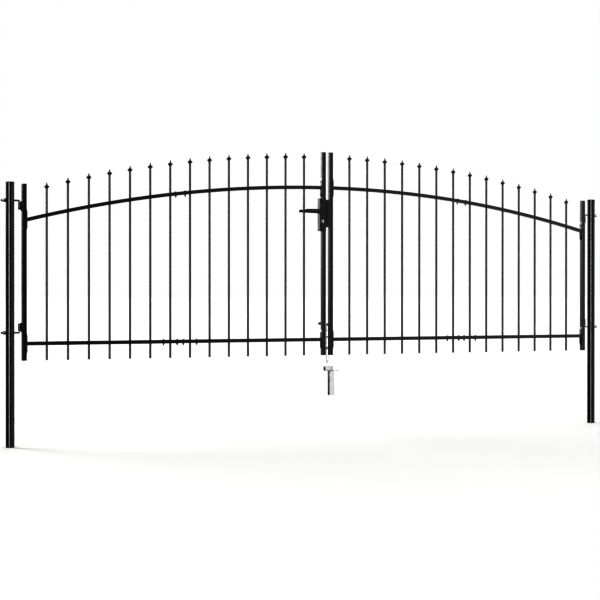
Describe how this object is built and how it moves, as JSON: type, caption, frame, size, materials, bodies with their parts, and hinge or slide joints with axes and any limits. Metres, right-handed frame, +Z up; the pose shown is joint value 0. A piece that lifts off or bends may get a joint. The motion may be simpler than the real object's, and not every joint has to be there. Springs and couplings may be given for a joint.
{
  "type": "double driveway gate",
  "caption": "Black tubular-steel double driveway gate with arched top rails, spear-tipped pickets, round posts, hook hinges, lever lock and drop bolt; both leaves swing.",
  "frame": {"origin": "centre of the left post's foot, on its flat lower end", "axes": "+X along the closed gate to the right post, -Y to the outside that the picture shows, +Z up"},
  "size_m": [4.056, 0.183, 1.74],
  "materials": {
    "black_powder_coat": "satin black powder coat",
    "black_plastic": "moulded black plastic",
    "zinc_plate": "bright zinc plate",
    "nickel_plate": "satin nickel plate"
  },
  "bodies": {
    "posts": {"left_post": "black_powder_coat", "right_post": "black_powder_coat", "left_post_cap": "black_plastic", "right_post_cap": "black_plastic", "left_upper_hinge_hook": "zinc_plate", "left_lower_hinge_hook": "zinc_plate", "right_upper_hinge_hook": "zinc_plate", "right_lower_hinge_hook": "zinc_plate", "left_hinge_nuts": "zinc_plate", "right_hinge_nuts": "zinc_plate", "ground_socket_plate": "zinc_plate", "ground_socket_leg": "zinc_plate"},
    "left_leaf": {"left_hinge_stile": "black_powder_coat", "left_lock_stile": "black_powder_coat", "left_stile_caps": "black_plastic", "left_outer_panel": "black_powder_coat", "left_inner_panel": "black_powder_coat", "left_splice_sleeves": "black_powder_coat", "left_spear_tips": "black_powder_coat", "left_hinge_stile_brackets": "black_powder_coat", "left_lock_stile_brackets": "black_powder_coat", "left_upper_hinge_eye": "black_powder_coat", "left_lower_hinge_eye": "black_powder_coat", "lock_case": "black_powder_coat", "lock_face_plates": "black_plastic", "lock_cylinder": "nickel_plate"},
    "lever": {"front_lever": "black_plastic", "back_lever": "black_plastic"},
    "key": {"lock_plug": "nickel_plate", "lock_key": "nickel_plate"},
    "right_leaf": {"right_hinge_stile": "black_powder_coat", "right_lock_stile": "black_powder_coat", "right_stile_caps": "black_plastic", "right_outer_panel": "black_powder_coat", "right_inner_panel": "black_powder_coat", "right_splice_sleeves": "black_powder_coat", "right_spear_tips": "black_powder_coat", "right_hinge_stile_brackets": "black_powder_coat", "right_lock_stile_brackets": "black_powder_coat", "right_upper_hinge_eye": "black_powder_coat", "right_lower_hinge_eye": "black_powder_coat", "lock_keeper": "black_powder_coat", "drop_bolt_guides": "black_powder_coat"},
    "drop_bolt": {"drop_bolt": "zinc_plate", "drop_bolt_grip": "black_plastic"}
  },
  "joints": [
    {"name": "left_leaf_swing", "type": "hinge", "parent": "posts", "child": "left_leaf", "pos_m": [0.055, 0, 1], "axis": [0, 0, 1], "range_deg": [0, 110]},
    {"name": "right_leaf_swing", "type": "hinge", "parent": "posts", "child": "right_leaf", "pos_m": [3.897, 0, 1], "axis": [0, 0, -1], "range_deg": [0, 110]},
    {"name": "lever_turn", "type": "hinge", "parent": "left_leaf", "child": "lever", "pos_m": [1.932, -0.012, 1.378], "axis": [0, -1, 0], "range_deg": [0, 40], "stiffness_Nm_per_rad": 1.2, "springref_deg": -34.38},
    {"name": "key_turn", "type": "hinge", "parent": "left_leaf", "child": "key", "pos_m": [1.932, -0.012, 1.313], "axis": [0, -1, 0], "range_deg": [0, 180]},
    {"name": "drop_bolt_slide", "type": "slide", "parent": "right_leaf", "child": "drop_bolt", "axis": [0, 0, -1], "range_m": [0, 0.06]}
  ]
}
